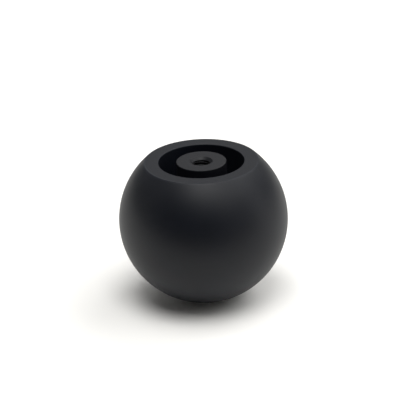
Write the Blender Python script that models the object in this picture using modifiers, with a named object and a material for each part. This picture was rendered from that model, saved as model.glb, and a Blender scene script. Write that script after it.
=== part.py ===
"""Friction ball for opening screwed watch cases.

A rubber skin is stretched over a rigid core. The skin turns in over the flat top and down the wall
of a ring channel, and its lip is clamped there by the flange of a centre hub. The hub's boss stands
level with the flat and holds a steel bush with an M8 thread, for a handle or a bench stud.

Frame: metres, +Z up along the ball's axis, origin at the lowest point of the ball.
"""

import math

import bmesh
import bpy
from mathutils import Matrix, Vector

MM = 0.001

# Driving dimensions: the ball
BALL_RADIUS = 32.5 * MM
FLAT_Z = 56.5 * MM
REST_RADIUS = 3.2 * MM
RIM_ROUND = 0.6 * MM
EDGE_CHAMFER = 0.3 * MM

# Driving dimensions: the channel in the flat, and the boss in the channel
RECESS_RADIUS = 16.4 * MM
RECESS_DEPTH = 13.0 * MM
BOSS_RADIUS = 9.6 * MM
MOUTH_RADIUS = 4.35 * MM
MOUTH_LAND = 0.2 * MM

# Driving dimensions: how the ball is built inside
SKIN_THICKNESS = 2.5 * MM
LIP_THICKNESS = 1.5 * MM
LIP_RADIUS = 15.0 * MM
FLANGE_THICKNESS = 2.0 * MM
SPIGOT_RADIUS = 8.0 * MM
SPIGOT_LENGTH = 6.0 * MM

# Thread bush: M8 coarse
THREAD_MAJOR_RADIUS = 4.0 * MM
THREAD_MINOR_RADIUS = 3.35 * MM
THREAD_PITCH = 1.25 * MM
THREAD_FLANK_ANGLE = math.radians(30.0)
THREAD_LIFT = 0.07 * MM
THREAD_REACH = 0.25 * MM
BUSH_RADIUS = 5.5 * MM
BUSH_LENGTH = 14.0 * MM

# Screws and inserts: M2.5
SCREW_COUNT = 3
SCREW_CIRCLE_RADIUS = 12.7 * MM
SCREW_HEAD_RADIUS = 2.4 * MM
SCREW_HEAD_RIM = 0.2 * MM
SCREW_SHANK_RADIUS = 1.2 * MM
SCREW_LENGTH = 8.0 * MM
SCREW_SINK = 0.1 * MM
SOCKET_ACROSS_FLATS = 1.5 * MM
SOCKET_DEPTH = 0.9 * MM
INSERT_RADIUS = 2.0 * MM
INSERT_GROOVE_RADIUS = 1.75 * MM
INSERT_LENGTH = 5.0 * MM

# Clearance left between two pieces that touch, and how far a cutter runs past what it cuts
GAP = 0.3 * MM
OVERRUN = 1.0 * MM

# Facets
BALL_SIDES = 60
HUB_SIDES = 48
SMALL_SIDES = 16
TURN_STEPS = 24
OUTSIDE_STEP = math.radians(7.0)
INSIDE_STEP = math.radians(9.0)
SHARP_ANGLE = math.radians(30.0)
WELD_DISTANCE = 0.00001

# Worked out from the driving dimensions
RECESS_FLOOR_Z = FLAT_Z - RECESS_DEPTH
LIP_TOP_Z = RECESS_FLOOR_Z - FLANGE_THICKNESS - GAP
LIP_BOTTOM_Z = LIP_TOP_Z - LIP_THICKNESS
SKIN_WALL_RADIUS = RECESS_RADIUS + LIP_THICKNESS
SKIN_INNER_RADIUS = BALL_RADIUS - SKIN_THICKNESS
SKIN_UNDERSIDE_Z = FLAT_Z - SKIN_THICKNESS
CORE_RADIUS = SKIN_INNER_RADIUS - GAP
CORE_TOP_Z = SKIN_UNDERSIDE_Z - GAP
CORE_FLOOR_Z = LIP_BOTTOM_Z - GAP
CUP_RADIUS = SKIN_WALL_RADIUS + GAP
POCKET_RADIUS = SPIGOT_RADIUS + GAP
SEAT_Z = LIP_BOTTOM_Z
SEAT_RADIUS = LIP_RADIUS - GAP
FLANGE_RADIUS = RECESS_RADIUS - GAP
SPIGOT_END_Z = SEAT_Z - SPIGOT_LENGTH
POCKET_FLOOR_Z = SPIGOT_END_Z - GAP
COUNTERSINK_DEPTH = MOUTH_RADIUS - THREAD_MINOR_RADIUS
SHOULDER_Z = FLAT_Z - COUNTERSINK_DEPTH - MOUTH_LAND
BUSH_TOP_Z = SHOULDER_Z - GAP
BUSH_BORE_RADIUS = BUSH_RADIUS + GAP
SCREW_HEAD_Z = RECESS_FLOOR_Z - SCREW_SINK
INSERT_TOP_Z = CORE_FLOOR_Z


def clear_scene():
    for obj in list(bpy.data.objects):
        bpy.data.objects.remove(obj, do_unlink=True)


def new_collection(name):
    collection = bpy.data.collections.new(name)
    bpy.context.scene.collection.children.link(collection)
    return collection


def new_material(name, color, roughness, metallic):
    material = bpy.data.materials.new(name)
    material.use_nodes = True
    shader = material.node_tree.nodes["Principled BSDF"]
    shader.inputs["Base Color"].default_value = (*color, 1.0)
    shader.inputs["Roughness"].default_value = roughness
    shader.inputs["Metallic"].default_value = metallic
    return material


def arc(radius, start, end, step):
    """Points (x, z) on a circle round the ball's centre, from angle start to end above the horizon."""
    count = max(1, math.ceil(abs(end - start) / step))
    angles = (start + (end - start) * i / count for i in range(count + 1))
    return [(radius * math.cos(a), BALL_RADIUS + radius * math.sin(a)) for a in angles]


def mesh_object(name, mesh, collection):
    obj = bpy.data.objects.new(name, mesh)
    collection.objects.link(obj)
    return obj


def turned(name, profile, sides, collection, closed=False):
    """A solid of revolution round Z. The profile runs down the outer side, top to bottom."""
    mesh = bpy.data.meshes.new(name)
    edges = [(i, i + 1) for i in range(len(profile) - 1)]
    if closed:
        edges.append((len(profile) - 1, 0))
    mesh.from_pydata([(x, 0.0, z) for x, z in profile], edges, [])
    obj = mesh_object(name, mesh, collection)
    screw = obj.modifiers.new("Turn", "SCREW")
    screw.axis = "Z"
    screw.steps = sides
    screw.render_steps = sides
    screw.use_merge_vertices = True
    screw.merge_threshold = WELD_DISTANCE
    solid = baked(obj, collection)
    solid.data.shade_smooth()
    solid.data.set_sharp_from_angle(angle=SHARP_ANGLE)
    return solid


def baked(obj, collection):
    """Replaces an object by the mesh its modifiers make, keeping its name and place."""
    graph = bpy.context.evaluated_depsgraph_get()
    mesh = bpy.data.meshes.new_from_object(obj.evaluated_get(graph))
    name = obj.name
    place = obj.matrix_world.copy()
    bpy.data.objects.remove(obj, do_unlink=True)
    mesh.name = name
    result = mesh_object(name, mesh, collection)
    result.matrix_world = place
    return result


def as_cutter(obj):
    obj.hide_render = True
    obj.display_type = "WIRE"
    return obj


def cut(target, cutter):
    boolean = target.modifiers.new(f"Cut {cutter.name}", "BOOLEAN")
    boolean.operation = "DIFFERENCE"
    boolean.solver = "EXACT"
    boolean.object = cutter


def finish(obj, material):
    obj.data.materials.clear()
    obj.data.materials.append(material)


def screw_places():
    """(number, x, y) of each screw, evenly round the hub, the first one towards +Y."""
    for i in range(SCREW_COUNT):
        angle = math.radians(90.0) + math.tau * i / SCREW_COUNT
        yield i + 1, SCREW_CIRCLE_RADIUS * math.cos(angle), SCREW_CIRCLE_RADIUS * math.sin(angle)


def rim_round_centre():
    """Centre (x, z) of the small round that runs the flat into the sphere."""
    z = FLAT_Z - RIM_ROUND
    reach = BALL_RADIUS - RIM_ROUND
    return math.sqrt(reach**2 - (z - BALL_RADIUS) ** 2), z


def skin_profile():
    """From the inner pole up the inside, round the lip and the channel wall, then down the outside."""
    inner_top = math.asin((SKIN_UNDERSIDE_Z - BALL_RADIUS) / SKIN_INNER_RADIUS)
    inside = arc(SKIN_INNER_RADIUS, math.radians(-90.0), inner_top, INSIDE_STEP)
    inside[0] = (0.0, inside[0][1])
    lip = [
        (SKIN_WALL_RADIUS, SKIN_UNDERSIDE_Z),
        (SKIN_WALL_RADIUS, LIP_BOTTOM_Z),
        (LIP_RADIUS, LIP_BOTTOM_Z),
        (LIP_RADIUS, LIP_TOP_Z),
        (RECESS_RADIUS, LIP_TOP_Z),
        (RECESS_RADIUS, FLAT_Z - EDGE_CHAMFER),
        (RECESS_RADIUS + EDGE_CHAMFER, FLAT_Z),
    ]
    round_x, round_z = rim_round_centre()
    tangent = math.atan2(round_z - BALL_RADIUS, round_x)
    rim = [(round_x, FLAT_Z)]
    middle = 0.5 * (math.radians(90.0) + tangent)
    rim.append((round_x + RIM_ROUND * math.cos(middle), round_z + RIM_ROUND * math.sin(middle)))
    upper = arc(BALL_RADIUS, tangent, 0.0, OUTSIDE_STEP)
    lower = arc(BALL_RADIUS, 0.0, -math.acos(REST_RADIUS / BALL_RADIUS), OUTSIDE_STEP)
    lower[-1] = (REST_RADIUS, 0.0)
    return inside + lip + rim + upper + lower[1:] + [(0.0, 0.0)]


def make_skin(parts, material):
    skin = turned("grip_skin", skin_profile(), BALL_SIDES, parts)
    finish(skin, material)


def core_profile():
    """From the pocket's floor up through the cup, over the rim, and down the sphere to its lowest point."""
    top_angle = math.asin((CORE_TOP_Z - BALL_RADIUS) / CORE_RADIUS)
    sphere = arc(CORE_RADIUS, top_angle, math.radians(-90.0), INSIDE_STEP)
    sphere[-1] = (0.0, sphere[-1][1])
    cup = [
        (0.0, POCKET_FLOOR_Z),
        (POCKET_RADIUS, POCKET_FLOOR_Z),
        (POCKET_RADIUS, CORE_FLOOR_Z),
        (CUP_RADIUS, CORE_FLOOR_Z),
        (CUP_RADIUS, CORE_TOP_Z),
    ]
    return cup + sphere


def make_core(parts, cutters, material):
    core = turned("ball_core", core_profile(), HUB_SIDES, parts)
    hole_top = CORE_FLOOR_Z + OVERRUN
    hole_floor = CORE_FLOOR_Z - INSERT_LENGTH - GAP
    hole_radius = INSERT_RADIUS + GAP
    hole = [(0.0, hole_top), (hole_radius, hole_top), (hole_radius, hole_floor), (0.0, hole_floor)]
    for number, x, y in screw_places():
        cutter = as_cutter(turned(f"insert_hole_{number}", hole, SMALL_SIDES, cutters))
        cutter.location = (x, y, 0.0)
        cut(core, cutter)
    finish(core, material)


def hub_profile():
    """A closed outline: up the bore, out over the countersunk mouth, and down the boss and flange."""
    return [
        (BUSH_BORE_RADIUS, SPIGOT_END_Z),
        (BUSH_BORE_RADIUS, SHOULDER_Z),
        (THREAD_MINOR_RADIUS, SHOULDER_Z),
        (THREAD_MINOR_RADIUS, FLAT_Z - COUNTERSINK_DEPTH),
        (MOUTH_RADIUS, FLAT_Z),
        (BOSS_RADIUS - EDGE_CHAMFER, FLAT_Z),
        (BOSS_RADIUS, FLAT_Z - EDGE_CHAMFER),
        (BOSS_RADIUS, RECESS_FLOOR_Z),
        (FLANGE_RADIUS, RECESS_FLOOR_Z),
        (FLANGE_RADIUS, LIP_TOP_Z + GAP),
        (SEAT_RADIUS, LIP_TOP_Z + GAP),
        (SEAT_RADIUS, SEAT_Z),
        (SPIGOT_RADIUS, SEAT_Z),
        (SPIGOT_RADIUS, SPIGOT_END_Z),
    ]


def screw_profile(grow=0.0, overrun=0.0):
    """Outline of a countersunk screw, its head's face at z = 0, wider by grow, longer by overrun."""
    head = SCREW_HEAD_RADIUS + grow
    shank = SCREW_SHANK_RADIUS + grow
    cone_end = -SCREW_HEAD_RIM - (SCREW_HEAD_RADIUS - SCREW_SHANK_RADIUS)
    return [
        (0.0, overrun),
        (head, overrun),
        (head, -SCREW_HEAD_RIM),
        (shank, cone_end),
        (shank, -SCREW_LENGTH - overrun),
        (0.0, -SCREW_LENGTH - overrun),
    ]


def make_hub(parts, cutters, material):
    hub = turned("centre_hub", hub_profile(), HUB_SIDES, parts, closed=True)
    outline = screw_profile(grow=GAP, overrun=OVERRUN)
    for number, x, y in screw_places():
        cutter = as_cutter(turned(f"screw_hole_{number}", outline, SMALL_SIDES, cutters))
        cutter.location = (x, y, SCREW_HEAD_Z)
        cut(hub, cutter)
    finish(hub, material)


def close_ends(mesh):
    """Caps the two open ends of a swept outline of four sides."""
    bm = bmesh.new()
    bm.from_mesh(mesh)
    bmesh.ops.remove_doubles(bm, verts=bm.verts, dist=WELD_DISTANCE)
    bmesh.ops.holes_fill(bm, edges=bm.edges, sides=4)
    bmesh.ops.recalc_face_normals(bm, faces=bm.faces)
    bm.to_mesh(mesh)
    bm.free()


def thread_cutter(cutters):
    """A V groove wound as a helix, long enough to run out of both ends of the bush."""
    root = THREAD_MAJOR_RADIUS
    mouth = THREAD_MINOR_RADIUS - THREAD_REACH
    slope = math.tan(THREAD_FLANK_ANGLE)
    half_root = THREAD_PITCH / 16.0
    half_mouth = half_root + (root - mouth) * slope
    groove = [(mouth, half_mouth), (root, half_root), (root, -half_root), (mouth, -half_mouth)]
    mesh = bpy.data.meshes.new("thread_groove")
    mesh.from_pydata([(x, 0.0, z) for x, z in groove], [(0, 1), (1, 2), (2, 3), (3, 0)], [])
    obj = mesh_object("thread_groove", mesh, cutters)
    turns = math.ceil(BUSH_LENGTH / THREAD_PITCH) + 2
    screw = obj.modifiers.new("Helix", "SCREW")
    screw.axis = "Z"
    screw.steps = TURN_STEPS
    screw.render_steps = TURN_STEPS
    screw.screw_offset = THREAD_PITCH
    screw.iterations = turns
    screw.use_merge_vertices = False
    obj = baked(obj, cutters)
    close_ends(obj.data)
    start = Matrix.Translation(Vector((0.0, 0.0, THREAD_LIFT - THREAD_PITCH)))
    half_step = Matrix.Rotation(0.5 * math.tau / TURN_STEPS, 4, "Z")
    obj.data.transform(start @ half_step)
    return as_cutter(obj)


def make_bush(parts, cutters, material):
    """A plain sleeve with both mouths relieved, then the thread cut through it."""
    top = BUSH_LENGTH
    outline = [
        (THREAD_MINOR_RADIUS, EDGE_CHAMFER),
        (THREAD_MINOR_RADIUS, top - EDGE_CHAMFER),
        (THREAD_MINOR_RADIUS + EDGE_CHAMFER, top),
        (BUSH_RADIUS, top),
        (BUSH_RADIUS, EDGE_CHAMFER),
        (BUSH_RADIUS - EDGE_CHAMFER, 0.0),
        (THREAD_MINOR_RADIUS + EDGE_CHAMFER, 0.0),
    ]
    bush = turned("thread_bush", outline, TURN_STEPS, parts, closed=True)
    cutter = thread_cutter(cutters)
    for obj in (bush, cutter):
        obj.location = (0.0, 0.0, BUSH_TOP_Z - BUSH_LENGTH)
    cut(bush, cutter)
    finish(bush, material)


def make_screws(parts, cutters, material):
    for number, x, y in screw_places():
        screw = turned(f"hub_screw_{number}", screw_profile(), SMALL_SIDES, parts)
        mesh = bpy.data.meshes.new(f"hex_socket_{number}")
        bm = bmesh.new()
        corner = 0.5 * SOCKET_ACROSS_FLATS / math.cos(math.radians(30.0))
        bmesh.ops.create_cone(
            bm, cap_ends=True, segments=6, radius1=corner, radius2=corner, depth=2.0 * SOCKET_DEPTH
        )
        bm.to_mesh(mesh)
        bm.free()
        socket = as_cutter(mesh_object(mesh.name, mesh, cutters))
        for obj in (screw, socket):
            obj.location = (x, y, SCREW_HEAD_Z)
        cut(screw, socket)
        finish(screw, material)


def insert_profile():
    """A closed outline of a plain-bored sleeve: two gripping bands with a groove between them."""
    bore = SCREW_SHANK_RADIUS + GAP
    low = -0.6 * INSERT_LENGTH
    high = -0.4 * INSERT_LENGTH
    return [
        (bore, -INSERT_LENGTH),
        (bore, 0.0),
        (INSERT_RADIUS, 0.0),
        (INSERT_RADIUS, high),
        (INSERT_GROOVE_RADIUS, high),
        (INSERT_GROOVE_RADIUS, low),
        (INSERT_RADIUS, low),
        (INSERT_RADIUS, -INSERT_LENGTH),
    ]


def make_inserts(parts, material):
    for number, x, y in screw_places():
        insert = turned(
            f"core_insert_{number}", insert_profile(), SMALL_SIDES, parts, closed=True
        )
        insert.location = (x, y, INSERT_TOP_Z)
        finish(insert, material)


def main():
    clear_scene()
    parts = new_collection("case_opening_friction_ball")
    cutters = new_collection("cutters")
    cutters.hide_render = True
    rubber = new_material("grip_rubber", (0.016, 0.017, 0.019), 0.5, 0.0)
    acetal = new_material("core_acetal", (0.03, 0.03, 0.032), 0.4, 0.0)
    nylon = new_material("hub_nylon", (0.016, 0.017, 0.019), 0.5, 0.0)
    dark_steel = new_material("bush_steel", (0.05, 0.05, 0.055), 0.35, 1.0)
    screw_steel = new_material("screw_steel", (0.04, 0.04, 0.045), 0.4, 1.0)
    brass = new_material("insert_brass", (0.60, 0.42, 0.16), 0.35, 1.0)
    make_skin(parts, rubber)
    make_core(parts, cutters, acetal)
    make_hub(parts, cutters, nylon)
    make_bush(parts, cutters, dark_steel)
    make_screws(parts, cutters, screw_steel)
    make_inserts(parts, brass)


main()
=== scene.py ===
"""Looks of a friction ball for opening watch cases, built around its fixed CAD frame.

Every shape is a surface of two parameters worked out with numpy: how far round the ball's axis, and
how far along an outline. Lengths are metres, +Z is up along the axis, the ball stands at z = 0.
"""

import math

import bmesh
import bpy
import numpy as np
from mathutils import Matrix, Vector


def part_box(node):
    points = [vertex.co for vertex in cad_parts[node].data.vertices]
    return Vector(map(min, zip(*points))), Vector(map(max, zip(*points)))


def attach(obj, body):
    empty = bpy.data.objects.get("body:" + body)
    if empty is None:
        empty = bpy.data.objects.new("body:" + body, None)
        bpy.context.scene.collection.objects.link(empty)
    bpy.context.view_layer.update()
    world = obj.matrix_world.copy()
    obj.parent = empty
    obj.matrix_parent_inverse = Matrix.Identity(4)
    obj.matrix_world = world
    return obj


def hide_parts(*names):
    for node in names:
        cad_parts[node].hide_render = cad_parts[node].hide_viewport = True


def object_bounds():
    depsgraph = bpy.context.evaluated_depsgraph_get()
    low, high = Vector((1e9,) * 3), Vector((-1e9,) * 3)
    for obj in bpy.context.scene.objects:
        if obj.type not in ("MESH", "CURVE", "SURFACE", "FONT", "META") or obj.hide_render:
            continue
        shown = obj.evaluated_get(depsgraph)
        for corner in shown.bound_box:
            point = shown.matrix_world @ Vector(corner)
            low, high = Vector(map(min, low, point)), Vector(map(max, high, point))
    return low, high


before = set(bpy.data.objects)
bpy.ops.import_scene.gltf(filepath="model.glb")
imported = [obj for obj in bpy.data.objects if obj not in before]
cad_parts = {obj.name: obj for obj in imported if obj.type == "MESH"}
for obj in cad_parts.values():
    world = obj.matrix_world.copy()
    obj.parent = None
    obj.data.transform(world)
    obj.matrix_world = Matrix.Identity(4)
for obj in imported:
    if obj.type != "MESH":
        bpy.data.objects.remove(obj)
CAD_LOW, CAD_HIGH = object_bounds()

bl_info = {
    "name": "Case Opening Friction Ball",
    "version": (1, 0, 0),
    "blender": (4, 5, 0),
    "location": "View3D > Sidebar > Friction Ball",
    "description": "Builds the surfaces of a watchmaker's friction ball around its CAD frame",
    "category": "Add Mesh",
}

MM = 0.001
HUB_LOW, HUB_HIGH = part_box("centre_hub")
BUSH_LOW, BUSH_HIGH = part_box("thread_bush")
SCREW_NODES = ("hub_screw_1", "hub_screw_2", "hub_screw_3")
INSERT_NODES = ("core_insert_1", "core_insert_2", "core_insert_3")

# The skin: its lip is clamped under the hub's flange, and its foot runs into the sphere
SKIN_THICKNESS = 2.5 * MM
CHANNEL_WALL = 1.5 * MM
WALL_FILLET = 0.3 * MM
LIP_THICKNESS = 1.5 * MM
LIP_RADIUS = 15.0 * MM
LIP_GAP = 0.05 * MM
LIP_ROUND = 0.2 * MM
FOOT_REACH = 6.0 * MM

# The hub: flange, seat for the skin's lip, and spigot
BUSH_GAP = 0.05 * MM
BORE_RADIUS = 5.55 * MM
FLANGE_THICKNESS = 2.0 * MM
FLANGE_GROWTH = 0.2 * MM
SEAT_RADIUS = 14.7 * MM
SPIGOT_RADIUS = 8.0 * MM
SPIGOT_LENGTH = 6.0 * MM
BOSS_FILLET = 0.4 * MM

# The bush in the hub
BUSH_GROWTH = 0.2 * MM
THREAD_LIFT = 0.07 * MM
THREAD_CHAMFER = 0.3 * MM
BUSH_TEETH = 40
BUSH_KNURL = 0.06 * MM
KNURL_EASE = 0.8 * MM

# M2.5 screws: countersunk head, hexagon socket, and thread
HEAD_RADIUS = 2.4 * MM
HEAD_RIM = 0.2 * MM
HEAD_CONE = 1.15 * MM
SHANK_RADIUS = 1.25 * MM
SHANK_ROOT = 0.98 * MM
SHANK_PITCH = 0.45 * MM
SCREW_LENGTH = 8.0 * MM
SOCKET_HALF_WIDTH = 0.75 * MM
SCREW_SPACE = 0.06 * MM
HOLE_FLARE = 0.2 * MM

# Brass inserts: two knurled bands with a groove between
INSERT_RADIUS = 2.0 * MM
INSERT_GROOVE = 1.75 * MM
INSERT_BORE = 1.5 * MM
INSERT_LENGTH = 5.0 * MM
INSERT_TEETH = 24
INSERT_KNURL = 0.05 * MM

# How fine the surfaces are: points round the axis, rows of the two threads, points of an arc,
# steps along an outline, the shortest edge kept after a cut, and the angle of a sharp edge
SKIN_COLUMNS, HUB_COLUMNS, BUSH_COLUMNS = 240, 192, 160
SCREW_COLUMNS, HOLE_COLUMNS, INSERT_COLUMNS = 72, 64, 96
BORE_ROWS, SHANK_ROWS = 281, 150
ARC_POINTS, RIM_POINTS = 7, 9
INSIDE_STEP, SKIN_STEP, HUB_STEP = 1.4 * MM, 0.9 * MM, 1.0 * MM
BUSH_STEP, INSERT_STEP = 0.8 * MM, 0.08 * MM
SLIVER = 0.002 * MM
SHARP_ANGLE = math.radians(32.0)


# ---------------------------------------------------------------- sizes and colours to change


class BallSizes(bpy.types.PropertyGroup):
    """Sizes of the outside of the ball."""

    ball_radius: bpy.props.FloatProperty(
        name="Ball radius", description="Radius of the sphere", unit="LENGTH", precision=5,
        default=CAD_HIGH.x,
    )
    flat_height: bpy.props.FloatProperty(
        name="Flat height", description="Height of the flat ring over the ball's lowest point",
        unit="LENGTH", precision=5, default=CAD_HIGH.z,
    )
    rim_round: bpy.props.FloatProperty(
        name="Rim round", description="Radius that runs the flat ring into the sphere",
        unit="LENGTH", precision=5, default=0.25 * MM,
    )
    recess_radius: bpy.props.FloatProperty(
        name="Channel radius", description="Radius of the ring channel's outer wall",
        unit="LENGTH", precision=5, default=16.4 * MM,
    )
    edge_round: bpy.props.FloatProperty(
        name="Edge round", description="Radius on the channel's edge and the boss's edge",
        unit="LENGTH", precision=5, default=0.25 * MM,
    )
    rest_radius: bpy.props.FloatProperty(
        name="Rest spot", description="Radius of the spot that the soft skin presses flat",
        unit="LENGTH", precision=5, default=3.2 * MM,
    )


class HubSizes(bpy.types.PropertyGroup):
    """Sizes of the hub, its channel and its thread."""

    boss_radius: bpy.props.FloatProperty(
        name="Boss radius", description="Radius of the boss in the middle of the channel",
        unit="LENGTH", precision=5, default=9.6 * MM,
    )
    floor_depth: bpy.props.FloatProperty(
        name="Channel depth", description="Depth of the channel's floor under the flat",
        unit="LENGTH", precision=5, default=13.0 * MM,
    )
    mouth_radius: bpy.props.FloatProperty(
        name="Countersink radius", description="Radius of the countersink at the boss's face",
        unit="LENGTH", precision=5, default=4.35 * MM,
    )
    thread_major: bpy.props.FloatProperty(
        name="Thread major radius", description="Radius at the bottom of the thread's groove",
        unit="LENGTH", precision=5, default=4.0 * MM,
    )
    thread_minor: bpy.props.FloatProperty(
        name="Thread minor radius", description="Radius at the thread's crest",
        unit="LENGTH", precision=5, default=3.35 * MM,
    )
    thread_pitch: bpy.props.FloatProperty(
        name="Thread pitch", description="Rise of the thread in one turn",
        unit="LENGTH", precision=5, default=1.25 * MM,
    )


class BallColours(bpy.types.PropertyGroup):
    """Colours and gloss of the finishes."""

    rubber: bpy.props.FloatVectorProperty(
        name="Rubber", description="Colour of the skin", subtype="COLOR", size=3,
        default=(0.0020, 0.0030, 0.0064),
    )
    rubber_roughness: bpy.props.FloatProperty(
        name="Rubber roughness", description="How dull the skin is", subtype="FACTOR",
        default=0.49, min=0.0, max=1.0,
    )
    rubber_gloss: bpy.props.FloatProperty(
        name="Rubber gloss", description="How much the skin mirrors head on", subtype="FACTOR",
        default=0.29, min=0.0, max=1.0,
    )
    nylon: bpy.props.FloatVectorProperty(
        name="Nylon", description="Colour of the hub", subtype="COLOR", size=3,
        default=(0.0028, 0.0031, 0.0055),
    )
    nylon_roughness: bpy.props.FloatProperty(
        name="Nylon roughness", description="How dull the hub is", subtype="FACTOR",
        default=0.49, min=0.0, max=1.0,
    )
    nylon_gloss: bpy.props.FloatProperty(
        name="Nylon gloss", description="How much the hub mirrors head on", subtype="FACTOR",
        default=0.275, min=0.0, max=1.0,
    )
    acetal: bpy.props.FloatVectorProperty(
        name="Acetal", description="Colour of the core", subtype="COLOR", size=3,
        default=(0.020, 0.020, 0.022),
    )
    black_oxide: bpy.props.FloatVectorProperty(
        name="Black oxide", description="Colour of the blackened steel", subtype="COLOR", size=3,
        default=(0.026, 0.026, 0.028),
    )
    brass: bpy.props.FloatVectorProperty(
        name="Brass", description="Colour of the core's inserts", subtype="COLOR", size=3,
        default=(0.62, 0.43, 0.17),
    )


class StageSettings(bpy.types.PropertyGroup):
    """Camera and light."""

    camera_distance: bpy.props.FloatProperty(
        name="Camera distance", description="From the lens to the middle of the ball",
        unit="LENGTH", default=0.975,
    )
    camera_elevation: bpy.props.FloatProperty(
        name="Camera elevation", description="Angle of the camera above the ball's middle",
        subtype="ANGLE", default=math.radians(24.3),
    )
    camera_roll: bpy.props.FloatProperty(
        name="Camera roll", description="How far the camera leans to its right",
        subtype="ANGLE", default=math.radians(2.24),
    )
    aim_right: bpy.props.FloatProperty(
        name="Aim right", description="How far right of the ball's middle the camera aims",
        unit="LENGTH", precision=5, default=1.73 * MM,
    )
    aim_up: bpy.props.FloatProperty(
        name="Aim up", description="How far above the ball's middle the camera aims",
        unit="LENGTH", precision=5, default=3.97 * MM,
    )
    lens: bpy.props.FloatProperty(
        name="Lens", description="Focal length on a 36 mm sensor, in millimetres",
        default=219.2,
    )
    light: bpy.props.FloatProperty(
        name="Light", description="Strength of all the lights together", default=0.98, min=0.0,
    )


# ---------------------------------------------------------------- surfaces


def straight(start, end, step):
    """Points on the line from start to end, about a step apart, without the last one."""
    start, end = np.array(start, float), np.array(end, float)
    count = max(1, math.ceil(np.linalg.norm(end - start) / step))
    along = np.arange(count)[:, None] / count
    return start + (end - start) * along


def rounded(corners, step, closed=False):
    """An outline through corners (r, z, round), each corner replaced by an arc of that radius.

    The arc touches both sides where they lie round / tan(half the corner's angle) from the corner.
    Straight runs are divided about every step, and once more beside each arc.
    """
    points = np.array([corner[:2] for corner in corners], float)
    rounds = np.array([corner[2] if len(corner) > 2 else 0.0 for corner in corners])
    count = len(points)
    stretches = []
    for i in range(count):
        here = points[i]
        if rounds[i] == 0.0 or (not closed and i in (0, count - 1)):
            stretches.append(here[None, :])
            continue
        back = points[i - 1] - here
        on = points[(i + 1) % count] - here
        back /= np.linalg.norm(back)
        on /= np.linalg.norm(on)
        half = 0.5 * math.acos(np.clip(back @ on, -1.0, 1.0))
        reach = rounds[i] / math.tan(half)
        middle = here + (back + on) / np.linalg.norm(back + on) * rounds[i] / math.sin(half)
        first, last = here + back * reach, here + on * reach
        sweep = np.linspace(0.0, 1.0, ARC_POINTS)[:, None]
        chord = first - middle + (last - first) * sweep
        arc = middle + chord / np.linalg.norm(chord, axis=1)[:, None] * rounds[i]
        ease = 0.35 * rounds[i]
        stretches.append(np.vstack([first + back * ease, arc, last + on * ease]))
    outline = []
    following = range(count) if closed else range(count - 1)
    for i in range(count):
        outline.append(stretches[i])
        if i in following:
            outline.append(straight(stretches[i][-1], stretches[(i + 1) % count][0], step)[1:])
    return np.vstack(outline)


def sphere_arc(radius, centre_z, start, end, step):
    """Points (r, z) on a circle round the ball's middle, from angle start to end above level."""
    count = max(2, math.ceil(radius * abs(end - start) / step))
    angle = np.linspace(start, end, count + 1)
    return np.column_stack([radius * np.cos(angle), centre_z + radius * np.sin(angle)])


def turned_points(radius, height, columns):
    """Radius and height, one row each per outline point and a column per angle, as points."""
    angle = np.arange(columns) * math.tau / columns
    radius = np.broadcast_to(radius, (len(radius), columns))
    height = np.broadcast_to(height, (len(height), columns))
    return np.stack([radius * np.cos(angle), radius * np.sin(angle), height], axis=-1)


def grid_mesh(name, points, ring=False, first_pole=False, last_pole=False):
    """A mesh over a grid of points whose columns close round the axis.

    ring joins the last row to the first. A pole takes the place of the first or last row, where
    every column meets, with a fan of triangles.
    """
    rows, columns = points.shape[:2]
    start = 1 if first_pole else 0
    stop = rows - 1 if last_pole else rows
    body = points[start:stop].reshape(-1, 3)
    body_rows = stop - start
    vertices = [body]
    column = np.arange(columns)
    beside = (column + 1) % columns
    upper = np.arange(body_rows if ring else body_rows - 1)[:, None]
    lower = (upper + 1) % body_rows
    quads = np.stack(
        [upper * columns + column, lower * columns + column, lower * columns + beside,
         upper * columns + beside], axis=-1,
    ).reshape(-1, 4)
    fans = []
    total = len(body)
    if first_pole:
        vertices.append(points[0].mean(axis=0)[None, :])
        fans.append(np.column_stack([np.full(columns, total), column, beside]))
        total += 1
    if last_pole:
        base = (body_rows - 1) * columns
        vertices.append(points[-1].mean(axis=0)[None, :])
        fans.append(np.column_stack([np.full(columns, total), base + beside, base + column]))
    vertices = np.vstack(vertices)
    triangles = np.vstack(fans) if fans else np.empty((0, 3), int)
    corners = np.concatenate([quads.ravel(), triangles.ravel()])
    sizes = np.concatenate([np.full(len(quads), 4), np.full(len(triangles), 3)])
    mesh = bpy.data.meshes.new(name)
    mesh.vertices.add(len(vertices))
    mesh.vertices.foreach_set("co", vertices.astype(np.float32).ravel())
    mesh.loops.add(len(corners))
    mesh.loops.foreach_set("vertex_index", corners.astype(np.int32))
    mesh.polygons.add(len(sizes))
    mesh.polygons.foreach_set("loop_start", (np.cumsum(sizes) - sizes).astype(np.int32))
    mesh.update(calc_edges=True)
    mesh.validate()
    return mesh


def add_piece(name, mesh, material, node):
    """Puts a mesh in the scene, smooth but for sharp edges, as a piece that replaces a CAD node."""
    mesh.shade_smooth()
    mesh.set_sharp_from_angle(angle=SHARP_ANGLE)
    mesh.materials.clear()
    mesh.materials.append(material)
    piece = bpy.data.objects.new(name, mesh)
    bpy.context.scene.collection.objects.link(piece)
    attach(piece, "root")
    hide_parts(node)


def thread_radius(angle, height, major, minor, pitch, lift):
    """Radius of a V thread whose groove climbs one pitch a turn.

    The groove's middle is at height lift at angle 0. Away from its middle the radius falls along
    flanks 30 degrees off square, from the root's flat, an eighth of the pitch wide, to the crest.
    """
    turns = (height - lift) / pitch - angle / math.tau
    off = np.abs(turns - np.round(turns)) * pitch
    flank = np.maximum(off - pitch / 16.0, 0.0) / math.tan(math.radians(30.0))
    return np.maximum(major - flank, minor)


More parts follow.
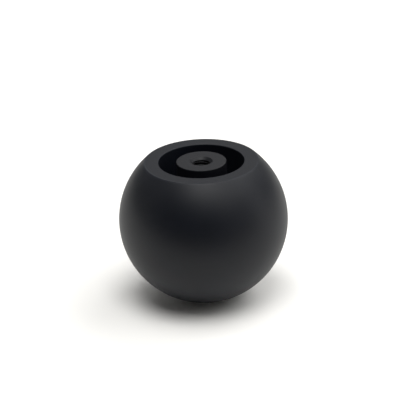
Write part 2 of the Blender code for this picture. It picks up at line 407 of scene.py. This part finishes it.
def without(mesh, cutters):
    """The mesh with the cutters taken out of it by Booleans, which are then applied.

    Points closer than SLIVER are merged afterwards, so that the cut edges leave no thin triangles.
    """
    body = bpy.data.objects.new("body", mesh)
    helpers = [bpy.data.objects.new("cutter", cutter) for cutter in cutters]
    for obj in [body, *helpers]:
        bpy.context.scene.collection.objects.link(obj)
    for helper in helpers:
        boolean = body.modifiers.new("Cut", "BOOLEAN")
        boolean.operation = "DIFFERENCE"
        boolean.solver = "EXACT"
        boolean.object = helper
    graph = bpy.context.evaluated_depsgraph_get()
    result = bpy.data.meshes.new_from_object(body.evaluated_get(graph))
    clean = bmesh.new()
    clean.from_mesh(result)
    bmesh.ops.remove_doubles(clean, verts=clean.verts, dist=SLIVER)
    bmesh.ops.dissolve_degenerate(clean, edges=clean.edges, dist=SLIVER)
    clean.to_mesh(result)
    clean.free()
    for obj in [body, *helpers]:
        bpy.data.objects.remove(obj, do_unlink=True)
    return result


# ---------------------------------------------------------------- shader expressions


class Value:
    """A socket of a node tree. Arithmetic on it adds Math nodes to the tree."""

    def __init__(self, finish, socket):
        self.finish = finish
        self.socket = socket

    def math(self, operation, first, second=0.0):
        return self.finish.node("ShaderNodeMath", {"operation": operation}, {0: first, 1: second})

    def __add__(self, other):
        return self.math("ADD", self, other)

    def __radd__(self, other):
        return self.math("ADD", other, self)

    def __sub__(self, other):
        return self.math("SUBTRACT", self, other)

    def __rsub__(self, other):
        return self.math("SUBTRACT", other, self)

    def __mul__(self, other):
        return self.math("MULTIPLY", self, other)

    def __rmul__(self, other):
        return self.math("MULTIPLY", other, self)

    def __abs__(self):
        return self.math("ABSOLUTE", self)

    def sine(self):
        return self.math("SINE", self)

    def beside(self, output):
        """Another output of the same node."""
        return Value(self.finish, self.socket.node.outputs[output])


class Finish:
    """A material's node tree, built from expressions."""

    def __init__(self, name):
        self.material = bpy.data.materials.new(name)
        self.material.use_nodes = True
        self.tree = self.material.node_tree
        self.shader = self.tree.nodes["Principled BSDF"]
        self.place = self.node("ShaderNodeTexCoord", output="Object")
        self.x = self.node("ShaderNodeSeparateXYZ", sockets={0: self.place})
        self.y, self.z = self.x.beside(1), self.x.beside(2)

    def node(self, kind, settings=None, sockets=None, output=0):
        """Adds a node: its settings first, then the values or links of its sockets."""
        node = self.tree.nodes.new(kind)
        for key, value in (settings or {}).items():
            setattr(node, key, value)
        for key, value in (sockets or {}).items():
            self.feed(node.inputs[key], value)
        return Value(self, node.outputs[output])

    def feed(self, socket, value):
        if isinstance(value, Value):
            self.tree.links.new(value.socket, socket)
        else:
            socket.default_value = value

    def set(self, **sockets):
        """Sets or links the shader's own sockets, named with underscores for spaces."""
        for key, value in sockets.items():
            self.feed(self.shader.inputs[key.replace("_", " ")], value)

    def noise(self, cell, detail=2.0, roughness=0.5):
        """Noise from 0 to 1 whose cells are cell metres across."""
        return self.node(
            "ShaderNodeTexNoise", {"noise_dimensions": "3D"},
            {"Vector": self.place, "Scale": 1.0 / cell, "Detail": detail, "Roughness": roughness},
        )

    def ramp(self, value, low, high):
        """0 below low and 1 above high, easing in between."""
        return self.node(
            "ShaderNodeMapRange", {"interpolation_type": "SMOOTHSTEP"},
            {"Value": value, "From Min": low, "From Max": high},
        )

    def near(self, value, target, reach):
        """1 where value is target, easing to 0 where it is reach away."""
        return 1.0 - self.ramp(abs(value - target), 0.0, reach)

    def mix(self, factor, first, second):
        """A colour between first and second."""
        return self.node(
            "ShaderNodeMix", {"data_type": "RGBA"}, {0: factor, 6: first, 7: second}, output=2
        )

    def axis_distance(self):
        """Distance from the ball's axis."""
        flat = self.node("ShaderNodeCombineXYZ", sockets={0: self.x, 1: self.y})
        return self.node("ShaderNodeVectorMath", {"operation": "LENGTH"}, {0: flat}, output=1)

    def bump(self, height, distance, strength, under=None):
        """A normal for a height from 0 to 1 that stands for a distance in metres."""
        sockets = {"Height": height, "Distance": distance, "Strength": strength}
        if under is not None:
            sockets["Normal"] = under
        return self.node("ShaderNodeBump", sockets=sockets)


def tinted(colour, red, green=None, blue=None):
    """The colour with its channels multiplied, by one factor or by three, and made opaque."""
    factors = (red, red if green is None else green, red if blue is None else blue)
    return tuple(channel * factor for channel, factor in zip(colour, factors)) + (1.0,)


def rubber_finish(colours, sizes):
    """Moulded rubber, dry and satin, with a very fine grain; smoother and painted lighter along the
    channel's edge and the rim, partly wear and partly a painted edge highlight.
    """
    finish = Finish("black_rubber")
    grain = finish.noise(0.19 * MM, 3.0, 0.6)
    pores = finish.noise(0.65 * MM, 2.0)
    cloud = finish.noise(11.0 * MM, 3.0)
    handled = finish.noise(28.0 * MM, 2.0)
    radius = finish.axis_distance()
    below_flat = 1.0 - finish.ramp(sizes.flat_height - finish.z, 0.05 * MM, 0.8 * MM)
    rim_radius = math.sqrt(sizes.ball_radius**2 - (sizes.flat_height - sizes.ball_radius) ** 2)
    # A mask along the channel's edge and the rim: partly wear, partly a painted highlight of the
    # edges catching light
    rubbed_and_lit_edges = below_flat * (
        finish.near(radius, sizes.recess_radius, 0.6 * MM)
        + finish.near(radius, rim_radius, 0.9 * MM)
    )
    wear_and_edge_highlight = rubbed_and_lit_edges * finish.ramp(grain + handled, 0.7, 1.3)
    colour = finish.mix(
        finish.ramp(cloud, 0.30, 0.70), tinted(colours.rubber, 0.93), tinted(colours.rubber, 1.07)
    )
    mottle = (grain - 0.5) * 0.05 + (handled - 0.5) * 0.04
    fine = finish.bump(grain, 0.009 * MM, 0.6)
    finish.set(
        # The edge mask paints the rubber lighter there: partly wear, partly a painted highlight
        Base_Color=finish.mix(wear_and_edge_highlight * 0.5, colour, tinted(colours.rubber, 6.0, 5.2, 3.6)),
        Roughness=colours.rubber_roughness + mottle - wear_and_edge_highlight * 0.06,
        Normal=finish.bump(pores, 0.010 * MM, 0.5, under=fine),
        Specular_IOR_Level=colours.rubber_gloss,
    )
    return finish.material


def nylon_finish(colours):
    """Glass-filled nylon, matt, with short fibres just showing as a faint mottle."""
    finish = Finish("black_nylon")
    grain = finish.noise(0.21 * MM, 3.0, 0.6)
    fibre = finish.noise(0.52 * MM, 4.0, 0.7)
    cloud = finish.noise(8.0 * MM)
    colour = finish.mix(
        finish.ramp(fibre, 0.35, 0.75), tinted(colours.nylon, 0.94), tinted(colours.nylon, 1.12)
    )
    fine = finish.bump(grain, 0.009 * MM, 0.6)
    finish.set(
        Base_Color=colour,
        Roughness=colours.nylon_roughness + (grain - 0.5) * 0.05 + (cloud - 0.5) * 0.04,
        Normal=finish.bump(fibre, 0.008 * MM, 0.5, under=fine),
        Specular_IOR_Level=colours.nylon_gloss,
    )
    return finish.material


def acetal_finish(colours):
    """Acetal turned on a lathe: fine rings round the axis."""
    finish = Finish("turned_acetal")
    rings = ((finish.axis_distance() + finish.z) * (math.tau / (0.12 * MM))).sine()
    cloud = finish.noise(6.5 * MM, 3.0)
    finish.set(
        Base_Color=finish.mix(cloud, tinted(colours.acetal, 0.9), tinted(colours.acetal, 1.1)),
        Roughness=0.36 + cloud * 0.08 + rings * 0.03,
        Normal=finish.bump(rings, 0.004 * MM, 0.7),
    )
    return finish.material


def steel_finish(name, colours, pitch):
    """Black-oxided steel: tool marks a pitch apart, browner where the oxide is thin."""
    finish = Finish(name)
    marks = (finish.z * (math.tau / pitch)).sine()
    stain = finish.noise(1.1 * MM, 4.0, 0.6)
    fine = finish.noise(0.17 * MM)
    finish.set(
        Base_Color=finish.mix(
            finish.ramp(stain, 0.35, 0.70),
            tinted(colours.black_oxide, 1.0), tinted(colours.black_oxide, 1.40, 1.36, 1.34),
        ),
        Metallic=1.0,
        Roughness=0.34 + stain * 0.14 + (fine - 0.5) * 0.08,
        Normal=finish.bump(marks + fine, 0.003 * MM, 0.6),
    )
    return finish.material


def brass_finish(colours):
    """Turned brass, slightly tarnished in patches."""
    finish = Finish("tarnished_brass")
    marks = (finish.z * (math.tau / (0.08 * MM))).sine()
    tarnish = finish.noise(1.4 * MM, 4.0, 0.6)
    finish.set(
        Base_Color=finish.mix(
            finish.ramp(tarnish, 0.45, 0.75),
            tinted(colours.brass, 1.0), tinted(colours.brass, 0.62, 0.58, 0.60),
        ),
        Metallic=1.0,
        Roughness=0.26 + tarnish * 0.16,
        Normal=finish.bump(marks, 0.003 * MM, 0.6),
    )
    return finish.material


def floor_finish():
    """White paper: even, with a trace of tooth."""
    finish = Finish("white_paper")
    tooth = finish.noise(1.1 * MM, 3.0)
    finish.set(
        Base_Color=finish.mix(tooth, (0.902, 0.893, 0.864, 1.0), (0.918, 0.909, 0.880, 1.0)),
        Roughness=0.9,
        Normal=finish.bump(tooth, 0.02 * MM, 0.2),
        Specular_IOR_Level=0.0,
    )
    return finish.material


# ---------------------------------------------------------------- pieces


class FRICTIONBALL_OT_skin(bpy.types.Operator):
    """Make the rubber skin: sphere, flat ring, channel wall and clamped lip"""

    bl_idname = "frictionball.skin"
    bl_label = "Rubber skin"

    def execute(self, context):
        sizes = context.scene.friction_ball
        add_piece(
            "rubber_skin", skin_mesh(sizes, context.scene.friction_hub),
            rubber_finish(context.scene.friction_colours, sizes), "grip_skin",
        )
        return {"FINISHED"}


def skin_mesh(sizes, hub):
    """The skin's outline, from the inner pole up the inside, round the lip, and down the outside.

    Near the ground the sphere sinks by a share that falls as the square of what is left of
    FOOT_REACH, so that it meets the level resting spot.
    """
    middle_z = sizes.ball_radius
    inner_radius = sizes.ball_radius - SKIN_THICKNESS
    underside = sizes.flat_height - SKIN_THICKNESS
    wall = sizes.recess_radius + CHANNEL_WALL
    lip_top = sizes.flat_height - hub.floor_depth - FLANGE_THICKNESS - LIP_GAP
    lip_bottom = lip_top - LIP_THICKNESS
    inner_top = math.asin((underside - middle_z) / inner_radius)
    inside = sphere_arc(inner_radius, middle_z, -0.5 * math.pi, inner_top, INSIDE_STEP)
    inside[0, 0] = 0.0
    round_z = sizes.flat_height - sizes.rim_round
    reach = sizes.ball_radius - sizes.rim_round
    round_r = math.sqrt(reach**2 - (round_z - middle_z) ** 2)
    tangent = math.atan2(round_z - middle_z, round_r)
    lip = rounded(
        [
            (*inside[-1], 0.0),
            (wall, underside, WALL_FILLET),
            (wall, lip_bottom, LIP_ROUND),
            (LIP_RADIUS, lip_bottom, LIP_ROUND),
            (LIP_RADIUS, lip_top, LIP_ROUND),
            (sizes.recess_radius, lip_top, LIP_ROUND),
            (sizes.recess_radius, sizes.flat_height, sizes.edge_round),
            (round_r, sizes.flat_height, 0.0),
        ],
        SKIN_STEP,
    )
    turn = np.linspace(0.5 * math.pi, tangent, RIM_POINTS)[1:-1]
    rim = np.column_stack(
        [round_r + sizes.rim_round * np.cos(turn), round_z + sizes.rim_round * np.sin(turn)]
    )
    rest = -math.acos(sizes.rest_radius / sizes.ball_radius)
    upper = sphere_arc(sizes.ball_radius, middle_z, tangent, 0.0, SKIN_STEP)
    lower = sphere_arc(sizes.ball_radius, middle_z, 0.0, rest, SKIN_STEP)[1:]
    fading = np.clip(1.0 - (lower[:, 0] - sizes.rest_radius) / FOOT_REACH, 0.0, 1.0)
    lower[:, 1] -= lower[-1, 1] * fading**2
    foot = straight((sizes.rest_radius, 0.0), (0.0, 0.0), 0.75 * SKIN_STEP)[1:]
    outline = np.vstack([inside[:-1], lip, rim, upper, lower, foot, [(0.0, 0.0)]])
    points = turned_points(outline[:, :1], outline[:, 1:], SKIN_COLUMNS)
    return grid_mesh("rubber_skin", points, first_pole=True, last_pole=True)


class FRICTIONBALL_OT_core(bpy.types.Operator):
    """Finish the turned core, which keeps its CAD shape, as it is all covered"""

    bl_idname = "frictionball.core"
    bl_label = "Core"

    def execute(self, context):
        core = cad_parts["ball_core"]
        acetal = acetal_finish(context.scene.friction_colours)
        for slot in core.material_slots:
            slot.material = acetal
        return {"FINISHED"}


class FRICTIONBALL_OT_hub(bpy.types.Operator):
    """Make the hub: boss, countersunk mouth, flange with its screw holes, and spigot"""

    bl_idname = "frictionball.hub"
    bl_label = "Hub"

    def execute(self, context):
        hub = context.scene.friction_hub
        ball = context.scene.friction_ball
        holes = [screw_hole_mesh(node) for node in SCREW_NODES]
        add_piece(
            "hub_moulding", without(hub_mesh(hub, ball), holes),
            nylon_finish(context.scene.friction_colours), "centre_hub",
        )
        return {"FINISHED"}


def hub_mesh(hub, ball):
    """The hub's closed outline: up the bore, over the mouth, down the boss, flange and spigot."""
    face = ball.flat_height
    floor = face - hub.floor_depth
    countersink = hub.mouth_radius - hub.thread_minor
    shoulder = BUSH_HIGH.z + BUSH_GROWTH + BUSH_GAP
    flange = HUB_HIGH.x + FLANGE_GROWTH
    seat_top = floor - FLANGE_THICKNESS
    seat_bottom = HUB_LOW.z + SPIGOT_LENGTH
    corners = [
        (BORE_RADIUS, HUB_LOW.z, 0.2 * MM),
        (BORE_RADIUS, shoulder, 0.0),
        (hub.thread_minor, shoulder, 0.05 * MM),
        (hub.thread_minor, face - countersink, 0.05 * MM),
        (hub.mouth_radius, face, 0.10 * MM),
        (hub.boss_radius, face, ball.edge_round),
        (hub.boss_radius, floor, BOSS_FILLET),
        (flange, floor, 0.2 * MM),
        (flange, seat_top, 0.15 * MM),
        (SEAT_RADIUS, seat_top, 0.1 * MM),
        (SEAT_RADIUS, seat_bottom, 0.2 * MM),
        (SPIGOT_RADIUS, seat_bottom, 0.1 * MM),
        (SPIGOT_RADIUS, HUB_LOW.z, 0.4 * MM),
    ]
    outline = rounded(corners, HUB_STEP, closed=True)
    points = turned_points(outline[:, :1], outline[:, 1:], HUB_COLUMNS)
    return grid_mesh("hub_moulding", points, ring=True)


def stood_at(node, mesh):
    """Moves a mesh made about its own axis, head at z = 0, to the top of a CAD node's box."""
    low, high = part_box(node)
    middle = 0.5 * (low + high)
    mesh.transform(Matrix.Translation(Vector((middle.x, middle.y, high.z))))
    return mesh


def screw_hole_mesh(node):
    """The space a screw needs in the hub: its outline grown by SCREW_SPACE, flared at the face."""
    head, shank = HEAD_RADIUS + SCREW_SPACE, SHANK_RADIUS + SCREW_SPACE
    bottom = -SCREW_LENGTH - HOLE_FLARE
    outline = np.array([
        (0.0, HOLE_FLARE), (head + HOLE_FLARE, HOLE_FLARE), (head, 0.0), (head, -HEAD_RIM),
        (shank, -HEAD_RIM - HEAD_CONE), (shank, bottom), (0.0, bottom),
    ])
    points = turned_points(outline[:, :1], outline[:, 1:], HOLE_COLUMNS)
    return stood_at(node, grid_mesh("hole", points, first_pole=True, last_pole=True))


class FRICTIONBALL_OT_bush(bpy.types.Operator):
    """Make the steel bush, with its helical thread and the knurl that holds it in the hub"""

    bl_idname = "frictionball.bush"
    bl_label = "Thread bush"

    def execute(self, context):
        material = steel_finish("blackened_bush", context.scene.friction_colours, 0.09 * MM)
        mesh = bush_mesh(context.scene.friction_hub)
        add_piece("threaded_bush", mesh, material, "thread_bush")
        return {"FINISHED"}


def bush_mesh(hub):
    """Up the threaded bore, across the top, down the knurled outside, and back under.

    The bore is the thread's radius, or a cone at either end where that is wider. The outside dips
    by a cosine that runs BUSH_TEETH times round.
    """
    low, high = BUSH_LOW.z, BUSH_HIGH.z + BUSH_GROWTH
    outer = BUSH_HIGH.x
    angle = np.arange(BUSH_COLUMNS) * math.tau / BUSH_COLUMNS
    bore_z = np.linspace(low, high, BORE_ROWS)[:, None]
    thread = thread_radius(
        angle, bore_z, hub.thread_major, hub.thread_minor, hub.thread_pitch, low + THREAD_LIFT
    )
    relief = hub.thread_minor + THREAD_CHAMFER - np.minimum(high - bore_z, bore_z - low)
    bore = np.maximum(thread, relief)
    side = rounded(
        [
            (outer - 1.0 * MM, high), (outer, high, 0.15 * MM), (outer, low, 0.3 * MM),
            (outer - 1.0 * MM, low),
        ],
        BUSH_STEP,
    )
    knurl = BUSH_KNURL * (np.cos(BUSH_TEETH * angle) - 1.0)
    inwards = np.minimum(high - side[:, 1:], side[:, 1:] - low)
    outside = side[:, :1] + knurl * np.clip(inwards / KNURL_EASE - 1.0, 0.0, 1.0)
    radius = np.vstack([bore, outside])
    height = np.vstack(
        [np.broadcast_to(bore_z, bore.shape), np.broadcast_to(side[:, 1:], outside.shape)]
    )
    return grid_mesh("threaded_bush", turned_points(radius, height, BUSH_COLUMNS), ring=True)


class FRICTIONBALL_OT_screws(bpy.types.Operator):
    """Make the countersunk socket screws that hold the hub"""

    bl_idname = "frictionball.screws"
    bl_label = "Hub screws"

    def execute(self, context):
        material = steel_finish("blackened_screw", context.scene.friction_colours, 0.07 * MM)
        for number, node in enumerate(SCREW_NODES, start=1):
            name = f"socket_screw_{number}"
            add_piece(name, stood_at(node, screw_mesh(name)), material, node)
        return {"FINISHED"}


def screw_mesh(name):
    """A hexagon socket, the head's face and cone, and a shank whose radius follows a thread.

    Rows of the socket are a hexagon: the radius is the half width over flats divided by the cosine
    of the angle from the middle of the nearest flat.
    """
    angle = np.arange(SCREW_COLUMNS) * math.tau / SCREW_COLUMNS
    sixth = math.tau / 6.0
    hexagon = SOCKET_HALF_WIDTH / np.cos(angle - sixth * np.round(angle / sixth))
    neck = -HEAD_RIM - HEAD_CONE
    # Share of the hexagon's radius, and height
    socket_rows = np.array([
        (0.0, -1.10 * MM), (0.30, -1.05 * MM), (0.94, -0.90 * MM), (1.0, -0.84 * MM),
        (1.0, -0.10 * MM), (1.08, 0.0), (1.25, 0.0),
    ])
    # Radius and height
    head_rows = np.array([
        (2.20 * MM, 0.0), (2.32 * MM, -0.02 * MM), (HEAD_RADIUS, -0.10 * MM),
        (HEAD_RADIUS, -HEAD_RIM), (1.3 * MM, neck + 0.05 * MM), (SHANK_RADIUS, neck),
    ])
    tip_rows = np.array([(0.85 * MM, -SCREW_LENGTH), (0.0, -SCREW_LENGTH)])
    shank_z = np.linspace(neck - 0.1 * MM, -SCREW_LENGTH + 0.2 * MM, SHANK_ROWS)[:, None]
    shank = thread_radius(-angle, -shank_z, SHANK_RADIUS, SHANK_ROOT, SHANK_PITCH, 0.0)
    point = np.maximum(-SCREW_LENGTH + 0.5 * MM - shank_z, 0.0)
    shank = np.minimum(shank, SHANK_RADIUS - point)
    radius = np.vstack([
        socket_rows[:, :1] * hexagon, head_rows[:, :1] * np.ones(SCREW_COLUMNS), shank,
        tip_rows[:, :1] * np.ones(SCREW_COLUMNS),
    ])
    height = np.vstack([socket_rows[:, 1:], head_rows[:, 1:], shank_z, tip_rows[:, 1:]])
    points = turned_points(radius, height, SCREW_COLUMNS)
    return grid_mesh(name, points, first_pole=True, last_pole=True)


class FRICTIONBALL_OT_inserts(bpy.types.Operator):
    """Make the knurled brass inserts that the hub screws turn into"""

    bl_idname = "frictionball.inserts"
    bl_label = "Core inserts"

    def execute(self, context):
        material = brass_finish(context.scene.friction_colours)
        for number, node in enumerate(INSERT_NODES, start=1):
            name = f"brass_insert_{number}"
            add_piece(name, stood_at(node, insert_mesh(name)), material, node)
        return {"FINISHED"}


def insert_mesh(name):
    """Up the bore, over the top, down two knurled bands with a groove between, and back under.

    A band's radius dips by a share of the greater of two slanting waves, which makes diamonds.
    """
    angle = np.arange(INSERT_COLUMNS) * math.tau / INSERT_COLUMNS
    upper, lower = -0.4 * INSERT_LENGTH, -0.6 * INSERT_LENGTH
    side = rounded(
        [
            (INSERT_BORE, -INSERT_LENGTH, 0.1 * MM), (INSERT_BORE, 0.0, 0.1 * MM),
            (INSERT_RADIUS, 0.0, 0.1 * MM), (INSERT_RADIUS, upper, 0.05 * MM),
            (INSERT_GROOVE, upper, 0.05 * MM), (INSERT_GROOVE, lower, 0.05 * MM),
            (INSERT_RADIUS, lower, 0.05 * MM), (INSERT_RADIUS, -INSERT_LENGTH, 0.1 * MM),
        ],
        INSERT_STEP, closed=True,
    )
    radius, height = side[:, :1], side[:, 1:]
    slant = height * (0.9 / INSERT_RADIUS)
    waves = np.maximum(
        np.cos(INSERT_TEETH * (angle + slant)), np.cos(INSERT_TEETH * (angle - slant))
    )
    on_band = np.clip((radius - INSERT_RADIUS + 0.04 * MM) / (0.03 * MM), 0.0, 1.0)
    radius = radius + on_band * INSERT_KNURL * (waves - 1.0)
    return grid_mesh(name, turned_points(radius, height, INSERT_COLUMNS), ring=True)


# ---------------------------------------------------------------- stage

# The table: half its width, and where its front edge lies
TABLE_HALF = 4.0
FRONT_EDGE = -0.14

# Each soft light far off: name, azimuth, elevation and width across in degrees, and irradiance.
# Azimuth 0 is behind the camera, 90 to its right, 180 beyond the ball.
LIGHTS = (
    ("front_top", 0.0, 70.0, 34.0, 1.570),
    ("back_right", 135.0, 50.0, 34.0, 0.800),
    ("right_high", 90.0, 50.0, 34.0, 0.655),
    ("front_right", 45.0, 50.0, 34.0, 0.540),
    ("left_top", 240.0, 70.0, 34.0, 0.500),
    ("overhead", 0.0, 90.0, 36.0, 0.470),
    ("right_low", 90.0, 9.0, 30.0, 0.327),
    ("back_right_low", 135.0, 29.0, 34.0, 0.250),
    ("back", 180.0, 29.0, 34.0, 0.250),
    ("right", 90.0, 29.0, 34.0, 0.182),
    ("left", 270.0, 29.0, 34.0, 0.150),
    ("back_left", 225.0, 29.0, 34.0, 0.145),
    ("front_right_low", 45.0, 9.0, 30.0, 0.093),
)


def direction(azimuth, elevation):
    """A unit vector. Azimuth 0 points to the camera, -Y, and 90 points to +X."""
    return Vector((
        math.sin(azimuth) * math.cos(elevation), -math.cos(azimuth) * math.cos(elevation),
        math.sin(elevation),
    ))


def add_light(name, azimuth, elevation, width, strength):
    """A soft light so far off that it is even over the whole floor."""
    lamp = bpy.data.lights.new(name, "SUN")
    lamp.angle = math.radians(width)
    lamp.energy = strength
    obj = bpy.data.objects.new(name, lamp)
    bpy.context.scene.collection.objects.link(obj)
    away = direction(math.radians(azimuth), math.radians(elevation))
    obj.rotation_euler = away.to_track_quat("Z", "Y").to_euler()
    obj.location = away


def add_camera(stage, middle):
    """A long lens that leans by its roll and aims just right of and above the ball's middle."""
    back = direction(0.0, stage.camera_elevation)
    right = Vector((1.0, 0.0, 0.0))
    up = back.cross(right)
    roll = stage.camera_roll
    lens_up = up * math.cos(roll) + right * math.sin(roll)
    lens_right = lens_up.cross(back)
    target = middle + lens_right * stage.aim_right + lens_up * stage.aim_up
    location = middle + back * stage.camera_distance
    view = (location - target).normalized()
    side = lens_up.cross(view).normalized()
    lens_up = view.cross(side)
    camera = bpy.data.objects.new("camera", bpy.data.cameras.new("camera"))
    bpy.context.scene.collection.objects.link(camera)
    turn = Matrix((side, lens_up, view)).transposed().to_4x4()
    camera.matrix_world = Matrix.Translation(location) @ turn
    camera.data.lens = stage.lens
    camera.data.sensor_width = 36.0
    camera.data.clip_start = 0.01
    camera.data.clip_end = 100.0
    bpy.context.scene.camera = camera


def add_floor():
    """A white table: a level sheet whose front edge is close to the ball."""
    count = 5
    x, y = np.meshgrid(
        np.linspace(-TABLE_HALF, TABLE_HALF, count), np.linspace(FRONT_EDGE, TABLE_HALF, count)
    )
    points = np.column_stack([x.ravel(), y.ravel(), np.zeros(count * count)])
    index = np.arange(count * count).reshape(count, count)
    faces = np.stack([index[:-1, :-1], index[:-1, 1:], index[1:, 1:], index[1:, :-1]], axis=-1)
    mesh = bpy.data.meshes.new("floor")
    mesh.from_pydata(points.tolist(), [], faces.reshape(-1, 4).tolist())
    mesh.materials.append(floor_finish())
    floor = bpy.data.objects.new("floor", mesh)
    bpy.context.scene.collection.objects.link(floor)


def add_world():
    """A room that is seen as white and gives no light of its own."""
    world = bpy.data.worlds.new("studio")
    bpy.context.scene.world = world
    world.use_nodes = True
    tree = world.node_tree
    shader = tree.nodes["Background"]
    sight = tree.nodes.new("ShaderNodeLightPath")
    tree.links.new(sight.outputs["Is Camera Ray"], shader.inputs["Strength"])
    shader.inputs["Color"].default_value = (1.0, 1.0, 1.0, 1.0)


class FRICTIONBALL_OT_stage(bpy.types.Operator):
    """Set the camera, the white table and the soft lights"""

    bl_idname = "frictionball.stage"
    bl_label = "Stage"

    def execute(self, context):
        stage = context.scene.friction_stage
        middle = Vector((0.0, 0.0, context.scene.friction_ball.ball_radius))
        add_camera(stage, middle)
        add_floor()
        add_world()
        for name, azimuth, elevation, width, strength in LIGHTS:
            add_light(name, azimuth, elevation, width, strength * stage.light)
        context.scene.view_settings.view_transform = "Standard"
        context.scene.view_settings.look = "None"
        return {"FINISHED"}


# ---------------------------------------------------------------- panel and registration

STEPS = (
    FRICTIONBALL_OT_skin,
    FRICTIONBALL_OT_core,
    FRICTIONBALL_OT_hub,
    FRICTIONBALL_OT_bush,
    FRICTIONBALL_OT_screws,
    FRICTIONBALL_OT_inserts,
    FRICTIONBALL_OT_stage,
)
GROUPS = {
    "friction_ball": BallSizes,
    "friction_hub": HubSizes,
    "friction_colours": BallColours,
    "friction_stage": StageSettings,
}


class FRICTIONBALL_PT_panel(bpy.types.Panel):
    """The sizes, colours and stage settings, and a button for each step"""

    bl_idname = "FRICTIONBALL_PT_panel"
    bl_label = "Friction ball"
    bl_space_type = "VIEW_3D"
    bl_region_type = "UI"
    bl_category = "Friction Ball"

    def draw(self, context):
        layout = self.layout
        for group in GROUPS:
            settings = getattr(context.scene, group)
            box = layout.box()
            for name in settings.__annotations__:
                box.prop(settings, name)
        for step in STEPS:
            layout.operator(step.bl_idname)


def register():
    for cls in (*GROUPS.values(), *STEPS, FRICTIONBALL_PT_panel):
        bpy.utils.register_class(cls)
    for name, group in GROUPS.items():
        setattr(bpy.types.Scene, name, bpy.props.PointerProperty(type=group))


def unregister():
    for name in GROUPS:
        delattr(bpy.types.Scene, name)
    for cls in reversed((*GROUPS.values(), *STEPS, FRICTIONBALL_PT_panel)):
        bpy.utils.unregister_class(cls)


def main():
    register()
    for step in STEPS:
        group, name = step.bl_idname.split(".")
        getattr(getattr(bpy.ops, group), name)()


if __name__ == "__main__":
    main()
